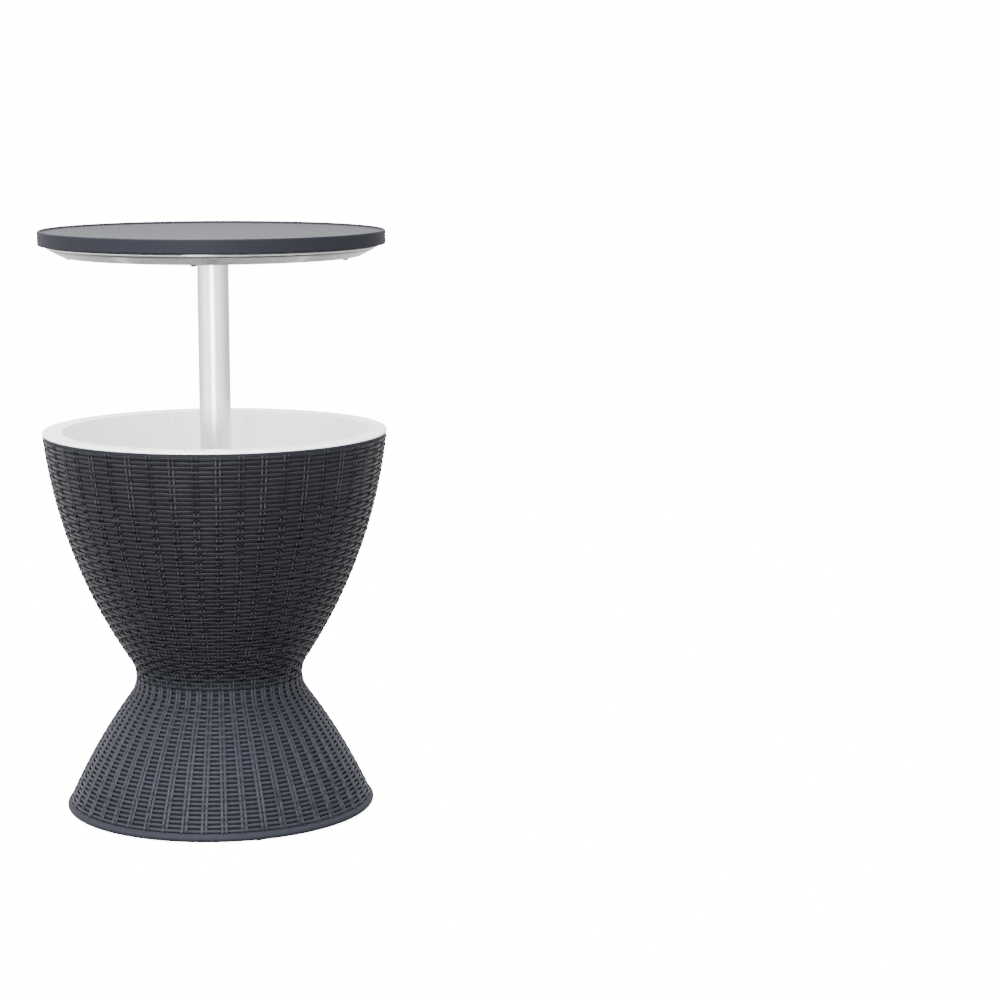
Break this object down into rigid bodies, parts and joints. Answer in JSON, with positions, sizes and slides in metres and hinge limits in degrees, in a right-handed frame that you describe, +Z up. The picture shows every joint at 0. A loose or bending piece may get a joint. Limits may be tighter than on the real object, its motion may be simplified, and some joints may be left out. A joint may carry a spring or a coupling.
{
  "type": "cooler side table",
  "caption": "Round outdoor side table with an ice bucket in a woven-look hourglass body; the top lifts on a pole to open the bucket.",
  "frame": {"origin": "on the floor under the middle of the table, on the pole's axis", "axes": "+Z up along the pole, -Y towards the front; the drain is at the back, on +Y"},
  "size_m": [0.4949, 0.495, 0.843],
  "materials": {
    "woven_base": "satin moulded weave, slate",
    "woven_bowl": "satin moulded weave, charcoal",
    "table_plastic": "fine matt grain, slate grey",
    "pan_plastic": "smooth pale grey",
    "white_bucket": "smooth white",
    "white_column": "smooth white",
    "bush_plastic": "low-friction plastic",
    "pole_metal": "satin drawn tube",
    "cast_hub": "as cast",
    "steel": "zinc plated",
    "black_screws": "black oxide",
    "black_plastic": "moulded",
    "rubber": "matt"
  },
  "bodies": {
    "stand": {"base_pedestal": "woven_base", "foot_pads": "rubber", "bowl_shell": "woven_bowl", "waist_screws": "steel", "ice_liner": "white_bucket", "guide_column": "white_column", "guide_bush": "bush_plastic", "column_collar": "white_column", "column_seal": "rubber", "column_nut": "white_column", "column_plug": "white_column", "drain_spout": "black_plastic", "drain_seal": "rubber", "drain_nut": "black_plastic"},
    "lift": {"lock_ring": "bush_plastic"},
    "top": {"pole": "pole_metal", "cam_plug": "bush_plastic", "cam_pin": "steel", "pole_hub": "cast_hub", "hub_bolt": "steel", "hub_screws": "steel", "table_top": "table_plastic", "lid_pan": "pan_plastic", "pan_screws": "black_screws"},
    "drain_disc": {"drain_gasket": "rubber"},
    "drain_screw_cap": {"drain_cap": "black_plastic"}
  },
  "joints": [
    {"name": "lift", "type": "slide", "parent": "stand", "child": "lift", "axis": [0, 0, 1], "range_m": [-0.254, 0]},
    {"name": "twist", "type": "hinge", "parent": "lift", "child": "top", "pos_m": [0, 0, 0.4], "axis": [0, 0, 1], "range_deg": [0, 90]},
    {"name": "drain_out", "type": "slide", "parent": "stand", "child": "drain_disc", "axis": [0, 0.8509, -0.5253], "range_m": [0, 0.0075]},
    {"name": "drain_turn", "type": "hinge", "parent": "drain_disc", "child": "drain_screw_cap", "pos_m": [0, 0.15696, 0.22902], "axis": [0, 0.8509, -0.5253], "range_deg": [0, 901]}
  ],
  "couplings": [
    {"joint": "drain_turn", "follows": "drain_out", "rad_per_m": 2094.4}
  ]
}
